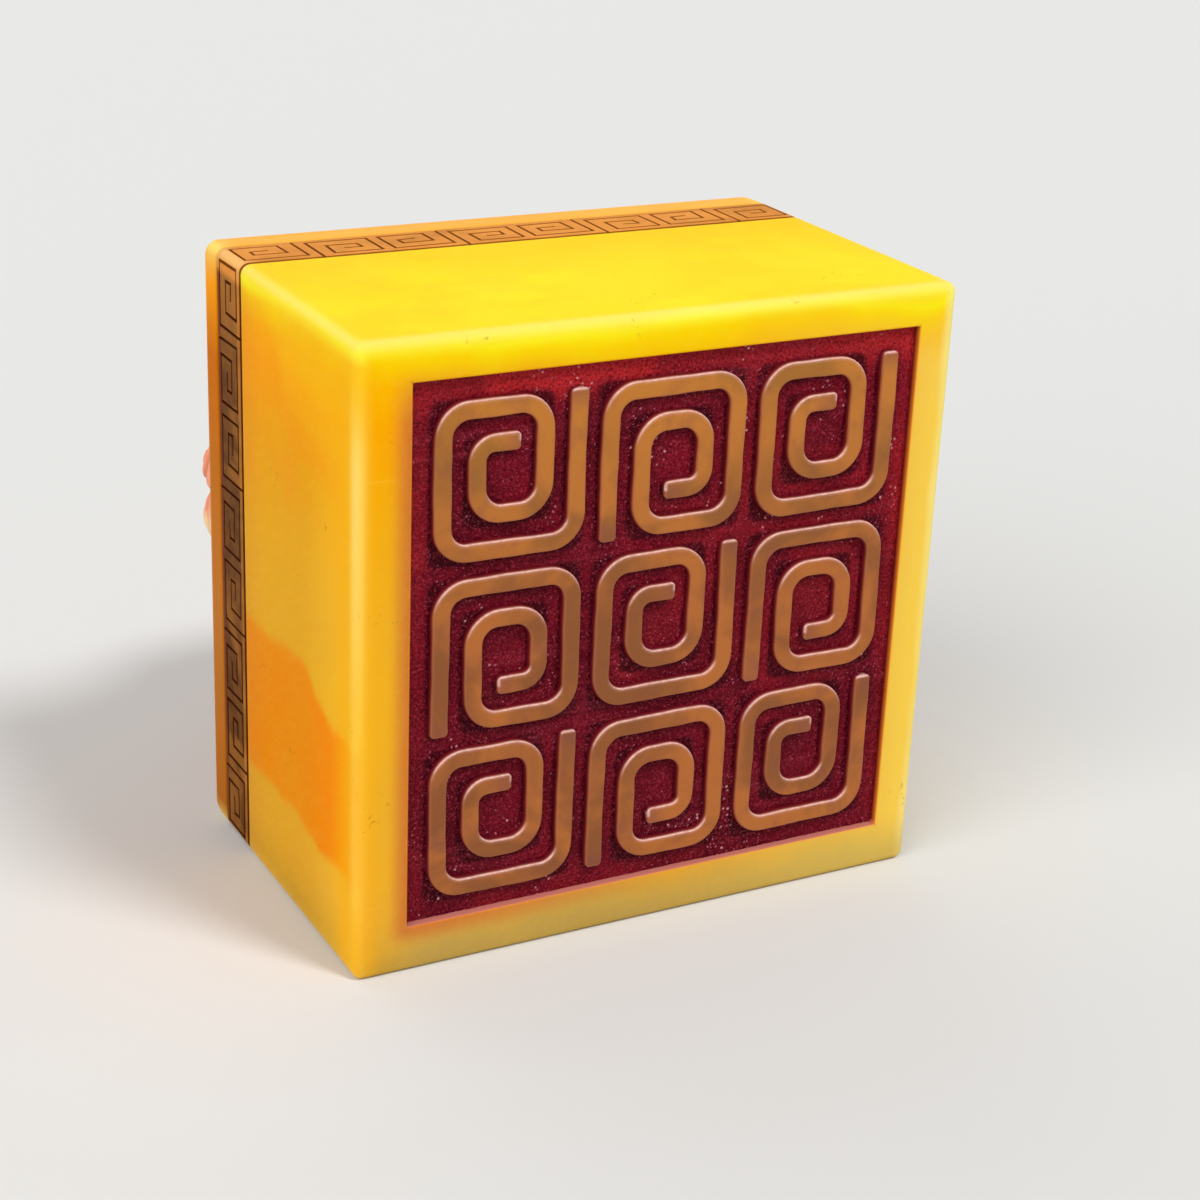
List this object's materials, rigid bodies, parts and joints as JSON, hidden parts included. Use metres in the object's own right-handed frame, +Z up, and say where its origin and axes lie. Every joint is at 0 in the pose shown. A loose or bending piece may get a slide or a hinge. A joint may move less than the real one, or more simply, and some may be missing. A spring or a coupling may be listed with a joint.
{
  "type": "seal stone",
  "caption": "Square hand seal of waxy yellow stone with a red sunken face of raised fret coils, an engraved fret band, an orange cap and a carved cloud knob.",
  "frame": {"origin": "middle of the footprint, on the floor side that the stone lies on", "axes": "+Z up from the floor side, -Y out of the carved seal face, +Y towards the knob, +X to the right seen from the seal face"},
  "size_m": [0.08, 0.0782, 0.08],
  "materials": {
    "yellow_stone": "waxed, softly translucent",
    "red_paste": "matte, granular",
    "dark_bed": "matte",
    "salmon_stone": "satin, engraved",
    "brown_bed": "matte",
    "orange_stone": "waxed",
    "rose_stone": "waxed, carved"
  },
  "bodies": {
    "root": {"seal_block": "yellow_stone", "seal_paste": "red_paste", "front_bed": "dark_bed", "fret_band": "salmon_stone", "rear_bed": "brown_bed", "cap_slab": "orange_stone", "cloud_knob": "rose_stone"}
  },
  "joints": []
}
